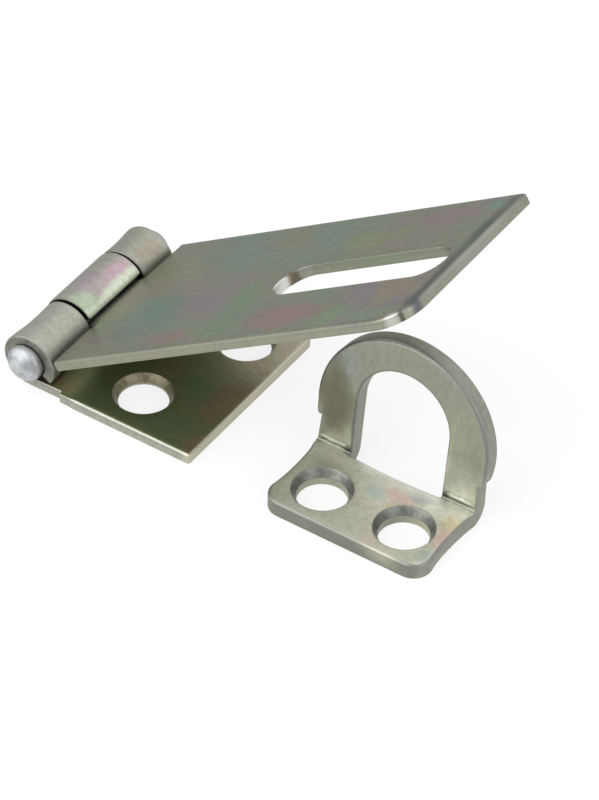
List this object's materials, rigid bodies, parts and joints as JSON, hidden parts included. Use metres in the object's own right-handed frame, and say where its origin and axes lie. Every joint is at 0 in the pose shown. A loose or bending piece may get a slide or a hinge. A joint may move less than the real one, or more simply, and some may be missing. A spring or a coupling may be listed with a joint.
{
  "type": "security latch",
  "caption": "Hinged hasp with a slotted leaf that swings down over a bent steel loop staple, so that a padlock through the loop holds a door or lid shut.",
  "frame": {"origin": "on the mounting plane, midway between the hinge leaf's two screw holes", "axes": "+X from the hinge along the closed leaf, +Y along the hinge pin, +Z away from the mounting surface"},
  "size_m": [0.0597, 0.028, 0.036],
  "materials": {
    "zinc_plate": "satin, iridescent yellow-passivated zinc plating",
    "bright_pin": "bright, hammered ends"
  },
  "bodies": {
    "fixed": {"hinge_leaf": "zinc_plate", "hinge_pin": "bright_pin", "staple": "zinc_plate"},
    "leaf": {"hasp_leaf": "zinc_plate"}
  },
  "joints": [
    {"name": "hinge", "type": "hinge", "parent": "fixed", "child": "leaf", "pos_m": [-0.0149, 0, 0.0036], "axis": [0, -1, 0], "range_deg": [-32.5, 147]}
  ]
}
